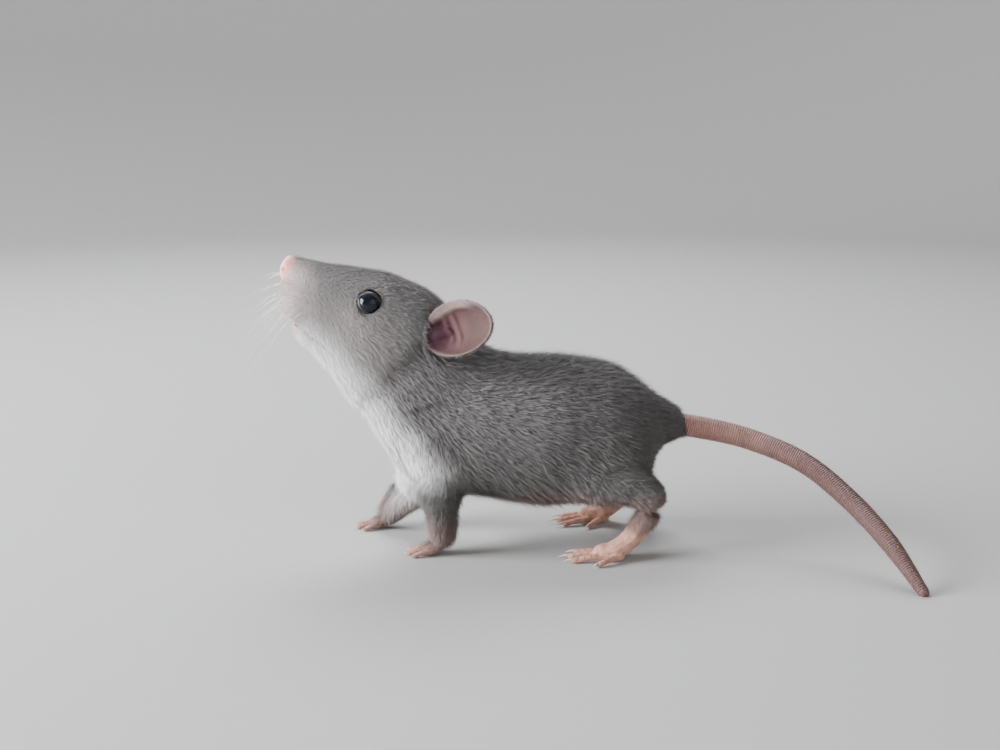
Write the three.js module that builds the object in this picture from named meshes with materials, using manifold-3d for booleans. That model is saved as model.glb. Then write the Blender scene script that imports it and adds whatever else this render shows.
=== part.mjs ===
// A young dumbo rat standing with its head raised, life size, in millimetres.
// +Z is up, the nose points along -X and the rat's left side faces -Y.
// The origin is on the floor, under the middle of the whole animal.
// The outline includes the depth of the coat, because the solids show the rat as it is seen.

import * as THREE from "three";
import { mergeVertices } from "three/addons/utils/BufferGeometryUtils.js";
import Module from "manifold-3d";

const wasm = await Module();
wasm.setup();

const degree = Math.PI / 180;

// Driving dimensions. Places are in the rat's own frame, with z = 0 on the floor.
const gap = 0.3; // between nodes that touch
const backHeight = 42; // floor to the top of the back
const bellyHeight = 9.5; // floor to the underside of the belly
const noseHeight = 64; // floor to the top of the raised nose
const headLength = 40.5; // nose tip to the back of the skull
const trunkRadius = (backHeight - bellyHeight) / 2;
const trunkLevel = (backHeight + bellyHeight) / 2;

// Stations on the middle plane: x, z, radius, and half width as a share of that radius.
const trunk = {
  breast: { x: -13.2, z: 24, r: 11.6, w: 0.86 },
  ribs: { x: -2, z: trunkLevel + 0.6, r: trunkRadius - 0.9, w: 0.88 },
  belly: { x: 10, z: trunkLevel - 0.2, r: trunkRadius + 0.1, w: 0.93 },
  hips: { x: 19.3, z: trunkLevel + 0.4, r: trunkRadius - 0.35, w: 0.9 },
};
const rump = {
  sacrum: { x: 27, z: 27.6, r: 9.5, w: 0.9 },
  tailRoot: { x: 35, z: 27.6, r: 4.8, w: 1 },
  tailCuff: { x: 42.6, z: 26.3, r: 2.6, w: 1 },
};
const neck = {
  nape: { x: -18.5, z: 43.5, r: 10.8, w: 0.86 },
  collar: { x: -12, z: 33.5, r: 12.6, w: 0.84 },
  withers: { x: -3.5, z: 27.5, r: 14.4, w: 0.86 },
};

// The head has its own frame: x runs back from the nose, z up through the crown.
const head = { x: -20.5, z: noseHeight - 14.5, pitch: 22 * degree };
const skull = {
  crown: { x: -0.6, z: -0.9, r: 9.9, w: 0.92 },
  brow: { x: -7.5, z: -1.6, r: 10, w: 0.86 },
  bridge: { x: -15.4, z: -1.7, r: 8.4, w: 0.76 },
  muzzle: { x: -21.8, z: -1.1, r: 6.2, w: 0.82 },
};
const snout = {
  top: { x: -21.5, z: 1.8, r: 3.4, w: 0.85 },
  tip: { x: 13.9 - headLength, z: 1.9, r: 3.2, w: 0.9 },
};
const jaw = {
  chin: { x: -18.3, z: -10.4, r: 3.1, w: 0.8 },
  middle: { x: -10.3, z: -10.4, r: 5.6, w: 0.84 },
  angle: { x: -2, z: -12.4, r: 8.5, w: 0.86 },
};
const throat = {
  upper: { x: -26.5, z: 38.5, r: 8.4, w: 0.86 },
  lower: { x: -19.2, z: 32.5, r: 10.2, w: 0.86 },
  breast: trunk.breast,
};
const lowerLip = { x: -19.9, y: 0.9, z: -10.3, rx: 2.8, ry: 1.9, rz: 1.9 };
const cheek = { x: -4.5, y: 4.6, z: -5.2, rx: 8.5, ry: 5.4, rz: 7.4 };
const whiskerPad = { x: -23.6, y: 2.5, z: -3.8, rx: 4.6, ry: 3.4, rz: 4.6 };

const eye = { x: -8.9, y: 6.5, z: 2.2, r: 2.7, lidTube: 0.52, outward: 62 * degree, forward: 12 * degree };
const nostril = {
  ...{ x: -29.3, y: 1.7, z: 1.5, long: 1.25, high: 0.62, deep: 1.3 },
  ...{ roll: 35 * degree, yaw: 28 * degree },
};
const mouth = { front: -23.8, corner: -14.3, frontZ: -8.4, cornerZ: -11.4, slit: 0.42, depth: 1.5 };

const ear = { long: 17.6, high: 11.9, cup: 2.7, rim: 0.75, floor: 1, buried: 1.8 };
const earPlaces = {
  left: { x: 5.2, y: 9.2, z: 1.8, standOut: 34 * degree, lift: 30 * degree, lean: 8 * degree },
  right: { x: 5.2, y: 9.3, z: 0.2, standOut: 38 * degree, lift: 10 * degree, lean: 12 * degree },
};

// Limbs: each joint has a place, a radius and, on the flesh, the depth of its fur.
const thigh = { x: 22.6, y: 8.2, z: 20.2, rx: 10.8, ry: 6.9, rz: 9.2 };
const knee = { x: 18, y: 11, z: 16.6, r: 4.8 };
const shoulder = { x: -12.6, y: 6.4, z: 22.5, rx: 7.4, ry: 5.4, rz: 9.4 };

const hindLegs = {
  left: { heel: [32.2, -12.8, 10.6], ball: [23.4, -14, 1.8], turnOut: 4 * degree },
  right: { heel: [30.6, 12.6, 10.6], ball: [21.8, 13.4, 1.8], turnOut: 9 * degree },
};
const foreLegs = {
  left: { elbow: [-12.8, -9.6, 13.6], wrist: [-12.4, -10.2, 4.8], turnOut: 6 * degree },
  right: { elbow: [-19.3, 8.4, 11.6], wrist: [-25.2, 8.8, 4.2], turnOut: 3 * degree },
};
const hindDigits = {
  thickness: 0.78,
  rows: [
    { side: -1.9, back: 2.2, length: 4.1, splay: -34 * degree },
    { side: -1.4, back: 0.2, length: 8.4, splay: -11 * degree },
    { side: 0, back: -0.2, length: 9.1, splay: 0 },
    { side: 1.4, back: 0.1, length: 8.6, splay: 10 * degree },
    { side: 1.9, back: 1.6, length: 5.6, splay: 38 * degree },
  ],
};
const foreDigits = {
  thickness: 0.58,
  rows: [
    { side: -1.5, back: 0.5, length: 3.5, splay: -26 * degree },
    { side: -0.6, back: 0, length: 4.4, splay: -8 * degree },
    { side: 0.5, back: 0, length: 4.4, splay: 8 * degree },
    { side: 1.4, back: 0.4, length: 3.6, splay: 25 * degree },
  ],
};
const tail = {
  path: [
    [38.5, 0, 27],
    [46, 0, 25.7],
    [54.3, -2, 24.1],
    [65.7, -8, 20.3],
    [74.2, -17, 14.4],
    [80.6, -27, 7.8],
    [85.4, -35.5, 0.6],
  ],
  radii: [2.4, 2.25, 2.15, 2.1, 2, 1.8, 1.05],
  ends: [0, 0.31, 0.66, 1],
};

// Surfaces of the materials, as colour and roughness.
const finishes = {
  fur: { color: 0x77726f, roughness: 0.9 },
  paleFur: { color: 0x9b9794, roughness: 0.9 },
  skin: { color: 0xd9a79b, roughness: 0.6 },
  eye: { color: 0x0b0d12, roughness: 0.08 },
};

// Fields: each gives how far a point lies outside a form, negative inside it.

function blend(a, b, reach) {
  const near = Math.max(reach - Math.abs(a - b), 0) / reach;
  return Math.min(a, b) - (near * near * reach) / 4;
}

function midlineBone(x, y, z, a, b) {
  const dx = b.x - a.x;
  const dz = b.z - a.z;
  const t = THREE.MathUtils.clamp(((x - a.x) * dx + (z - a.z) * dz) / (dx * dx + dz * dz), 0, 1);
  const wide = THREE.MathUtils.lerp(a.w, b.w, t);
  return Math.hypot(x - a.x - t * dx, y / wide, z - a.z - t * dz) - THREE.MathUtils.lerp(a.r, b.r, t);
}

function midline(x, y, z, stations, reach) {
  const list = Object.values(stations);
  let distance = midlineBone(x, y, z, list[0], list[1]);
  for (let i = 1; i + 1 < list.length; i++) {
    distance = blend(distance, midlineBone(x, y, z, list[i], list[i + 1]), reach);
  }
  return distance;
}

function egg(x, y, z, form) {
  const dx = x - form.x;
  const dy = Math.abs(y) - form.y;
  const dz = z - form.z;
  const near = Math.hypot(dx / form.rx, dy / form.ry, dz / form.rz);
  const slope = Math.hypot(dx / form.rx ** 2, dy / form.ry ** 2, dz / form.rz ** 2);
  return slope < 1e-9 ? -Math.min(form.rx, form.ry, form.rz) : (near * (near - 1)) / slope;
}

function headField(x, y, z) {
  let d = midline(x, y, z, skull, 3);
  d = blend(d, midline(x, y, z, jaw, 3), 3.2);
  d = blend(d, midline(x, y, z, snout, 1), 1.6);
  d = blend(d, egg(x, y, z, cheek), 3);
  d = blend(d, egg(x, y, z, whiskerPad), 1.6);
  d = blend(d, egg(x, y, z, lowerLip), 1);
  return d;
}

function bodyField(x, y, z) {
  const hx = x - head.x;
  const hz = z - head.z;
  const c = Math.cos(head.pitch);
  const s = Math.sin(head.pitch);
  let d = midline(x, y, z, trunk, 5);
  d = blend(d, midline(x, y, z, rump, 3), 4);
  d = blend(d, midline(x, y, z, neck, 4), 5);
  d = blend(d, midline(x, y, z, throat, 4), 4);
  d = blend(d, egg(x, y, z, thigh), 4);
  d = blend(d, Math.hypot(x - knee.x, Math.abs(y) - knee.y + 1.4, z - knee.z) - knee.r, 4);
  d = blend(d, egg(x, y, z, shoulder), 4);
  return blend(d, headField(hx * c - hz * s, y, hx * s + hz * c), 4);
}

// Solids.

function geometryOf(positions, faces) {
  const geometry = new THREE.BufferGeometry();
  geometry.setAttribute("position", new THREE.Float32BufferAttribute(positions, 3));
  geometry.setIndex(faces);
  return geometry;
}

function solidOf(geometry) {
  const bare = geometry.clone();
  bare.deleteAttribute("normal");
  bare.deleteAttribute("uv");
  const merged = mergeVertices(bare, 1e-4);
  return new wasm.Manifold(
    new wasm.Mesh({
      numProp: 3,
      vertProperties: new Float32Array(merged.attributes.position.array),
      triVerts: new Uint32Array(merged.index.array),
    }),
  );
}

function largest(solid) {
  return solid.decompose().reduce((best, one) => (one.volume() > best.volume() ? one : best));
}

// Slivers that a cut leaves are closed up by welding their corners.
function geometryFrom(solid) {
  const mesh = largest(solid).getMesh();
  const cut = geometryOf(Array.from(mesh.vertProperties), Array.from(mesh.triVerts));
  const welded = mergeVertices(cut, 4e-3);
  const faces = Array.from(welded.index.array);
  const kept = [];
  for (let i = 0; i < faces.length; i += 3) {
    const [a, b, c] = faces.slice(i, i + 3);
    if (a !== b && b !== c && c !== a) {
      kept.push(a, b, c);
    }
  }
  welded.setIndex(kept);
  return welded;
}

// Rings of points, closed at both ends by a fan round a middle point.
function stackRings(rings, startPoint, endPoint) {
  const sides = rings[0].length;
  const positions = [...rings.flat(), startPoint, endPoint].flatMap((p) => [p.x, p.y, p.z]);
  const start = rings.length * sides;
  const faces = [];
  for (let i = 0; i < sides; i++) {
    const j = (i + 1) % sides;
    for (let k = 0; k + 1 < rings.length; k++) {
      const low = k * sides;
      const high = low + sides;
      faces.push(low + i, low + j, high + j, low + i, high + j, high + i);
    }
    const last = start - sides;
    faces.push(start, j, i, start + 1, last + i, last + j);
  }
  return geometryOf(positions, faces);
}

function surfaceReach(field, origin, direction, grow) {
  const at = (r) => {
    const p = direction.clone().multiplyScalar(r).add(origin);
    return field(p.x, p.y, p.z) - grow;
  };
  let inside = 0;
  let outside = 1;
  while (at(outside) < 0 && outside < 60) {
    inside = outside;
    outside += 1;
  }
  for (let i = 0; i < 24; i++) {
    const middle = (inside + outside) / 2;
    if (at(middle) < 0) {
      inside = middle;
    } else {
      outside = middle;
    }
  }
  return outside;
}

// A solid wrapped onto a field: each ring lies in a plane that crosses the middle plane.
// A section is the ring's middle, as x and z, and how far its plane leans back from upright.
function wrapField(field, sections, { sides, grow = 0, closeAtNose = false }) {
  const rings = sections.map(({ x, z, lean }) => {
    const origin = new THREE.Vector3(x, 0, z);
    const up = new THREE.Vector3(Math.sin(lean), 0, Math.cos(lean));
    return Array.from({ length: sides }, (_, i) => {
      const turn = (i / sides) * 2 * Math.PI;
      const direction = new THREE.Vector3(0, -Math.sin(turn), 0).addScaledVector(up, Math.cos(turn));
      return direction.clone().multiplyScalar(surfaceReach(field, origin, direction, grow)).add(origin);
    });
  });
  const middle = ({ x, z }) => new THREE.Vector3(x, 0, z);
  const first = sections[0];
  const nose = new THREE.Vector3(-1, 0, 0);
  const start = middle(first);
  if (closeAtNose) {
    start.addScaledVector(nose, surfaceReach(field, start, nose, grow));
  }
  return solidOf(stackRings(rings, start, middle(sections[sections.length - 1])));
}

const smoothCurve = (points) =>
  new THREE.CatmullRomCurve3(points.map((p) => new THREE.Vector3(...p)), false, "centripetal");

// Sections between two or more named ones, spaced evenly or crowded towards the first.
function sectionsAlong(stops, count, crowd = 1) {
  const curve = smoothCurve(stops.map((s) => [s.x, s.lean * 20, s.z]));
  return Array.from({ length: count }, (_, i) => {
    const p = curve.getPoint((i / (count - 1)) ** crowd);
    return { x: p.x, z: p.z, lean: p.y / 20 };
  });
}

// A tapering tube with round ends, flattened where wide and high differ.
function limb(points, radii, shape = {}) {
  const { sides = 8, rings = 6, grow = 0, high = 1, roundStart = true, roundEnd = true } = shape;
  const curve = smoothCurve(points);
  const radiusAt = (t) => {
    const place = t * (radii.length - 1);
    const i = Math.min(Math.floor(place), radii.length - 2);
    return THREE.MathUtils.lerp(radii[i], radii[i + 1], place - i) + grow;
  };
  const made = [];
  const addRing = (t, shift, share) => {
    const along = curve.getTangent(t);
    const across = new THREE.Vector3(0, 0, 1).cross(along).normalize();
    const over = along.clone().cross(across).multiplyScalar(high);
    const middle = curve.getPoint(t).addScaledVector(along, shift);
    const r = radiusAt(t) * share;
    made.push(
      Array.from({ length: sides }, (_, i) => {
        const turn = ((i + 0.5) / sides) * 2 * Math.PI;
        const point = middle.clone().addScaledVector(across, r * Math.cos(turn));
        return point.addScaledVector(over, r * Math.sin(turn));
      }),
    );
  };
  const roundings = [72 * degree, 38 * degree];
  for (const a of roundStart ? roundings : []) {
    addRing(0, -radiusAt(0) * high * Math.sin(a), Math.cos(a));
  }
  for (let i = 0; i < rings; i++) {
    addRing(i / (rings - 1), 0, 1);
  }
  for (const a of roundEnd ? roundings.toReversed() : []) {
    addRing(1, radiusAt(1) * high * Math.sin(a), Math.cos(a));
  }
  const endPoint = (t, sign, round) => {
    const reach = round ? radiusAt(t) * high * sign : 0;
    return curve.getPoint(t).addScaledVector(curve.getTangent(t), reach);
  };
  return solidOf(stackRings(made, endPoint(0, -1, roundStart), endPoint(1, 1, roundEnd)));
}

const aboveFloor = solidOf(new THREE.BoxGeometry(400, 400, 200).translate(0, 0, 100));

function matrixOf(position, rotation) {
  return new THREE.Matrix4().compose(
    new THREE.Vector3(...position),
    new THREE.Quaternion().setFromEuler(new THREE.Euler(...rotation)),
    new THREE.Vector3(1, 1, 1),
  );
}

const headMatrix = matrixOf([head.x, 0, head.z], [0, head.pitch, 0]);

// Cuts between the trunk, the neck and the head, each a plane that leans back over the nape.
const neckCut = { x: -14.2, z: 32.2, lean: 50 * degree };
const headCut = { x: -20.8, z: 42.2, lean: 45 * degree };
const tailCut = { x: 41, z: 26.7, lean: -9 * degree };
const shifted = (cut, by) => ({
  x: cut.x - Math.cos(cut.lean) * by,
  z: cut.z + Math.sin(cut.lean) * by,
  lean: cut.lean,
});

// Trunk, with the haunches and shoulders parted from it by egg-shaped cuts.

function trunkSolid(grow) {
  const shoulders = { x: -7.5, z: 27.5, lean: 24 * degree };
  const chest = { x: 2, z: 25.5, lean: 0 };
  const hips = { x: 30, z: 26, lean: 0 };
  const tailRoot = { x: 36.5, z: 27.2, lean: -4 * degree };
  const front = sectionsAlong([shifted(neckCut, -gap / 2), shoulders, chest], 8);
  const middle = sectionsAlong([chest, hips], 9).slice(1);
  const back = sectionsAlong([hips, tailRoot, shifted(tailCut, gap / 2)], 8).slice(1);
  return wrapField(bodyField, [...front, ...middle, ...back], { sides: 28, grow });
}

function eggCutter(form, side, grow) {
  const cutter = new THREE.SphereGeometry(1, 16, 12);
  cutter.scale(form.rx + grow, form.ry + grow, form.rz + grow);
  cutter.translate(form.x, side * (form.y + 1.6), form.z);
  return solidOf(cutter);
}

function neckSolid() {
  const sections = sectionsAlong([shifted(headCut, -gap / 2), shifted(neckCut, gap / 2)], 6);
  return wrapField(bodyField, sections, { sides: 36 });
}

// Head, in the frame of the whole rat while it is wrapped, then brought into its own.

function headSolid(grow) {
  const toHead = headMatrix.clone().invert();
  const place = new THREE.Vector3();
  const local = (x, y, z) => {
    place.set(x, y, z).applyMatrix4(headMatrix);
    return bodyField(place.x, place.y, place.z);
  };
  const cutMiddle = shifted(headCut, gap / 2);
  place.set(cutMiddle.x, 0, cutMiddle.z).applyMatrix4(toHead);
  const cut = { x: place.x, z: place.z, lean: headCut.lean - head.pitch };
  const noseTip = { x: -29.2, z: 1.5, lean: 0 };
  const pads = { x: -25.5, z: 0.4, lean: 0 };
  const cheeks = { x: -19, z: -2.6, lean: 0 };
  const brow = { x: -8, z: -3.4, lean: 8 * degree };
  const face = sectionsAlong([noseTip, pads, cheeks], 13, 1.25);
  const back = sectionsAlong([cheeks, brow, cut], 14).slice(1);
  return wrapField(local, [...face, ...back], { sides: 36, grow, closeAtNose: true });
}

const lookOut = (side) =>
  matrixOf([eye.x, side * eye.y, eye.z], [-side * eye.outward, 0, side * eye.forward]);

// Each lid ring is a torus round the eye, narrowed to the slanting almond of the opening.
function lidRing(side) {
  const ring = new THREE.TorusGeometry(eye.r * 0.97, eye.lidTube, 6, 20);
  ring.scale(1.04, 0.94, 1);
  ring.translate(0, 0, eye.r * 0.36);
  return solidOf(ring.applyMatrix4(lookOut(side)));
}

const eyeSolid = (side, grow) =>
  solidOf(new THREE.SphereGeometry(eye.r + grow, 18, 12).applyMatrix4(lookOut(side)));

function nostrilCutter(side) {
  const hole = new THREE.SphereGeometry(1, 8, 6);
  hole.scale(nostril.deep, nostril.high, nostril.long);
  const place = [nostril.x, side * nostril.y, nostril.z];
  const turn = [side * nostril.roll, 0, side * nostril.yaw];
  return solidOf(hole.applyMatrix4(matrixOf(place, turn)));
}

// The slit of the mouth: a thin sheet in one plane that follows the lip from corner to corner.
function mouthCutter() {
  const steps = 14;
  const half = new THREE.Vector3(0, 0, mouth.slit / 2);
  const inPlane = (x, y) => {
    const share = (x - mouth.corner) / (mouth.front - mouth.corner);
    return new THREE.Vector3(x, y, THREE.MathUtils.lerp(mouth.cornerZ, mouth.frontZ, share));
  };
  const rings = Array.from({ length: steps + 1 }, (_, i) => {
    const turn = (i / steps - 0.5) * Math.PI;
    const x = THREE.MathUtils.lerp(mouth.corner, mouth.front, Math.cos(turn));
    const edge = inPlane(x - 2, Math.sin(turn) * 7.5);
    const inner = inPlane(x * 0.8 + 0.4, Math.sin(turn) * mouth.depth);
    const outer = [edge.clone().add(half), edge.clone().sub(half)];
    return [...outer, inner.clone().sub(half), inner.clone().add(half)];
  });
  const middleOf = (ring) =>
    ring.reduce((sum, p) => sum.addScaledVector(p, 1 / ring.length), new THREE.Vector3());
  return solidOf(stackRings(rings, middleOf(rings[0]), middleOf(rings[steps])));
}

function makeHead() {
  let solid = headSolid(0);
  for (const side of [-1, 1]) {
    solid = solid.add(lidRing(side)).subtract(eyeSolid(side, gap)).subtract(nostrilCutter(side));
  }
  return solid.subtract(mouthCutter());
}

// Ear: a round cup on a short root. Its own frame has x out to the tip, z up the cup and y into it.

function earShape(side) {
  const around = 20;
  const steps = 6;
  const centre = ear.long / 2 - ear.buried;
  const front = [];
  const back = [];
  for (let k = 1; k <= steps; k++) {
    const out = k / steps;
    for (let i = 0; i < around; i++) {
      const turn = (i / around) * 2 * Math.PI;
      const x = centre + (ear.long / 2) * out * Math.cos(turn);
      const z = (ear.high / 2) * out * Math.sin(turn) * (1 - 0.07 * Math.cos(turn));
      const deepen = 1.25 - (0.55 * x) / ear.long;
      const y = ear.cup * deepen * (1 - out ** 2.4) - 0.9 * out ** 4 * Math.max(Math.sin(turn + 0.5), 0);
      const thick = THREE.MathUtils.lerp(ear.floor, ear.rim, out);
      front.push(new THREE.Vector3(x, side * -y, z));
      back.push(new THREE.Vector3(x + 0.1, side * -(y + thick), z));
    }
  }
  const bottom = [0, ear.floor].map((y) => new THREE.Vector3(centre, -side * (ear.cup + y), 0));
  const all = [...front, ...back, ...bottom];
  const shellSize = front.length;
  const faces = [];
  for (let i = 0; i < around; i++) {
    const j = (i + 1) % around;
    faces.push(2 * shellSize, i, j, 2 * shellSize + 1, shellSize + j, shellSize + i);
    for (let k = 0; k + 1 < steps; k++) {
      const a = k * around + i;
      const b = k * around + j;
      const c = shellSize + a;
      const d = shellSize + b;
      faces.push(a, a + around, b + around, a, b + around, b);
      faces.push(c, d + around, c + around, c, d, d + around);
    }
    const rimA = (steps - 1) * around + i;
    const rimB = (steps - 1) * around + j;
    faces.push(rimA, shellSize + rimA, shellSize + rimB, rimA, shellSize + rimB, rimB);
  }
  if (side > 0) {
    faces.reverse();
  }
  return solidOf(geometryOf(all.flatMap((p) => [p.x, p.y, p.z]), faces));
}

function makeEar(side) {
  const stalk = [[-2.4, side * -2.8, -0.4], [0.6, side * -3.6, -0.2], [4, side * -4.2, 0]];
  return earShape(side).add(limb(stalk, [2.8, 2.7, 1.6], { sides: 12, rings: 5 }));
}

function earMatrix(side, place) {
  const turn = new THREE.Euler(side * place.lean, -place.lift, side * place.standOut, "ZYX");
  return new THREE.Matrix4().makeRotationFromEuler(turn).setPosition(place.x, side * place.y, place.z);
}

// Legs.

function digit(base, direction, length, thickness) {
  const at = (share, z) => [...[0, 1].map((i) => base[i] + direction[i] * length * share), z];
  const thick = (...shares) => shares.map((share) => share * thickness);
  const [middle, pad, clawRoot, clawBend, clawTip] = thick(1.25, 0.86, 1.25, 1.2, 0.5);
  const bones = [at(-0.12, base[2]), at(0.35, base[2] + 0.1), at(0.7, middle), at(0.93, pad)];
  const toe = limb(bones, thick(1.12, 0.95, 0.9, 0.92), { sides: 6, rings: 3 });
  const nail = [at(0.9, clawRoot), at(1.08, clawBend), at(1.24, clawTip)];
  const claw = limb(nail, thick(0.52, 0.42, 0.2), { sides: 4, rings: 3, roundStart: false });
  return toe.add(claw);
}

function paw(base, heading, digits, palm) {
  let solid = palm;
  for (const { side, back, length, splay } of digits.rows) {
    const forward = [-Math.cos(heading), Math.sin(heading)];
    const across = [-Math.sin(heading), -Math.cos(heading)];
    const root = [
      base[0] + across[0] * side - forward[0] * back,
      base[1] + across[1] * side - forward[1] * back,
      digits.thickness * 1.7,
    ];
    const turn = heading - splay;
    solid = solid.add(digit(root, [-Math.cos(turn), Math.sin(turn)], length, digits.thickness));
  }
  return solid.intersect(aboveFloor);
}

function shank(side, leg, grow) {
  const heel = leg.heel;
  const from = [heel[0] - 9.5, side * (knee.y - 0.6), knee.z + 1.2];
  const hock = [heel[0] - 0.6, heel[1], heel[2] + 4.2];
  const middle = [heel[0] - 4.2, side * (knee.y + 0.4), heel[2] + 6.3];
  return limb([from, middle, hock], [5.6, 5.2, 3.7], { sides: 14, rings: 7, grow });
}

function hindFoot(leg) {
  const [hx, hy, hz] = leg.heel;
  const [bx, by, bz] = leg.ball;
  const heading = -leg.turnOut * Math.sign(by);
  const ankle = [hx - 0.7, hy, hz + 3];
  const instep = [hx - 1.9, hy, hz - 3.2];
  const middle = [(hx + bx) / 2, (hy + by) / 2, (hz + bz) / 2 - 1.9];
  const bones = [ankle, leg.heel, instep, middle, [bx + 1, by, bz + 0.3], [bx - 1.4, by, bz]];
  const sole = limb(bones, [3, 3.2, 2.8, 2.5, 2.5, 2.2], { sides: 12, rings: 10, high: 0.85 });
  return paw([bx + 0.6, by], heading, hindDigits, sole);
}

function forearm(side, leg, grow) {
  const [ex, ey, ez] = leg.elbow;
  const middle = leg.elbow.map((place, i) => (place + leg.wrist[i]) / 2);
  const bones = [[ex, ey - side * 1.5, ez + 2], [ex, ey, ez - 1], middle, leg.wrist];
  return limb(bones, [5.2, 4.9, 3.9, 2.5], { sides: 12, rings: 8, grow });
}

function forePaw(leg) {
  const [wx, wy, wz] = leg.wrist;
  const bones = [[wx, wy, wz - 0.8], [wx - 1.3, wy, 2.5], [wx - 3.4, wy, 1.2]];
  const palm = limb(bones, [1.75, 1.9, 1.8], { sides: 10, rings: 6, high: 0.74 });
  return paw([wx - 3.2, wy], -leg.turnOut * Math.sign(wy), foreDigits, palm);
}

function tailLength(from, to) {
  const curve = smoothCurve(tail.path);
  const count = 7;
  const shares = Array.from({ length: count }, (_, i) => THREE.MathUtils.lerp(from, to, i / (count - 1)));
  const points = shares.map((t) => curve.getPointAt(t).toArray());
  const radii = shares.map((t) => {
    const place = t * (tail.radii.length - 1);
    const i = Math.min(Math.floor(place), tail.radii.length - 2);
    return THREE.MathUtils.lerp(tail.radii[i], tail.radii[i + 1], place - i);
  });
  return limb(points, radii, { sides: 12, rings: 10, roundStart: false, roundEnd: to === 1 });
}

// The scene graph.

const animal = new THREE.Group();
const headGroup = new THREE.Group();
headGroup.position.set(head.x, 0, head.z);
headGroup.rotation.y = head.pitch;
animal.add(headGroup);

function addMesh(parent, name, solid, finish) {
  const material = new THREE.MeshStandardMaterial({ ...finishes[finish], metalness: 0 });
  const mesh = new THREE.Mesh(geometryFrom(solid), material);
  mesh.name = name;
  parent.add(mesh);
  return mesh;
}

addMesh(headGroup, "head", makeHead(), "fur");
addMesh(animal, "neck", neckSolid(), "fur");

const headSpace = headSolid(gap);
const headRoom = headSpace.transform(headMatrix.elements);
const sides = { left: -1, right: 1 };
let torso = trunkSolid(0);
const trunkSpace = trunkSolid(gap);

for (const [name, side] of Object.entries(sides)) {
  const hind = hindLegs[name];
  const fore = foreLegs[name];

  addMesh(headGroup, `eye_${name}`, eyeSolid(side, 0), "eye");

  const toEar = earMatrix(side, earPlaces[name]);
  const earGroup = new THREE.Group();
  earGroup.applyMatrix4(toEar);
  headGroup.add(earGroup);
  const nape = sectionsAlong([shifted(headCut, 2), shifted(neckCut, -2)], 6);
  const neckRoom = wrapField(bodyField, nape, { sides: 36, grow: gap });
  const earRoom = headRoom.add(neckRoom).transform(headMatrix.clone().multiply(toEar).invert().elements);
  addMesh(earGroup, `ear_${name}`, makeEar(side).subtract(earRoom), "skin");

  addMesh(animal, `thigh_${name}`, torso.intersect(eggCutter(thigh, side, 0.6)), "fur");
  torso = torso.subtract(eggCutter(thigh, side, gap + 0.6));
  addMesh(animal, `upper_arm_${name}`, torso.intersect(eggCutter(shoulder, side, 0.3)), "fur");
  torso = torso.subtract(eggCutter(shoulder, side, gap + 0.3));

  addMesh(animal, `shank_${name}`, shank(side, hind, 0).subtract(trunkSpace), "fur");
  addMesh(animal, `hind_foot_${name}`, hindFoot(hind).subtract(shank(side, hind, gap)), "skin");
  addMesh(animal, `forearm_${name}`, forearm(side, fore, 0).subtract(trunkSpace), "paleFur");
  addMesh(animal, `forepaw_${name}`, forePaw(fore).subtract(forearm(side, fore, gap)), "skin");
}
addMesh(animal, "torso", torso, "fur");

const tailGroup = new THREE.Group();
animal.add(tailGroup);
["tail_base", "tail_middle", "tail_tip"].forEach((name, i) => {
  const curveLength = 82;
  const part = gap / 2 / curveLength;
  const from = tail.ends[i] + (i > 0 ? part : 0);
  const to = tail.ends[i + 1] - (i < 2 ? part : 0);
  let piece = tailLength(from, to).intersect(aboveFloor);
  if (i === 0) {
    piece = piece.subtract(trunkSpace);
  }
  addMesh(tailGroup, name, piece, "skin");
});

// The origin goes under the middle of the whole animal.
animal.updateMatrixWorld(true);
const box = new THREE.Box3().setFromObject(animal, true);
animal.position.set(-(box.min.x + box.max.x) / 2, -(box.min.y + box.max.y) / 2, 0);

export default animal;
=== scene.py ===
import math

import bpy
import numpy as np
from mathutils import Matrix, Vector, kdtree


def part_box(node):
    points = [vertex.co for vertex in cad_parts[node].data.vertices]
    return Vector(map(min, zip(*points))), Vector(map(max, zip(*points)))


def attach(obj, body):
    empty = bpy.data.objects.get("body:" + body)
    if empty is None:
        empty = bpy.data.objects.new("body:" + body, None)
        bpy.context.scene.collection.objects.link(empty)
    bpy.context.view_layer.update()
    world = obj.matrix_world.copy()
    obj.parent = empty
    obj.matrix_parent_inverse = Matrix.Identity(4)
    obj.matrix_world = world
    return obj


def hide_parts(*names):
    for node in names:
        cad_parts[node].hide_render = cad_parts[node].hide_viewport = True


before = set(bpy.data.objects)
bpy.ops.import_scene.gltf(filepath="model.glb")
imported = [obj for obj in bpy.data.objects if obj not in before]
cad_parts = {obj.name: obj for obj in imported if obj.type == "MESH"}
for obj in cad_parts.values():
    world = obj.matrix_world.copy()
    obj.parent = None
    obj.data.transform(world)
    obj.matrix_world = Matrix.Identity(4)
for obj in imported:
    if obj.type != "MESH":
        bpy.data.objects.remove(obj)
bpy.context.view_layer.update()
mm = 0.001
rng = np.random.default_rng(24)

# Places below are in the rat's own frame, in millimetres: x runs tailwards, z is up from the floor.
rat = {
    "headPlace": (-20.5, 49.5),  # x and z of the head's own frame
    "headPitch": math.radians(22),
    "eyeInHead": (-8.9, 6.5, 2.2),
    "eyeRadius": 2.7,
    "jointWidth": 0.3,  # the cut between two solids
}


def headToRat(x, y, z):
    c, s = math.cos(rat["headPitch"]), math.sin(rat["headPitch"])
    return np.array([rat["headPlace"][0] + x * c + z * s, y, rat["headPlace"][1] - x * s + z * c])


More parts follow.
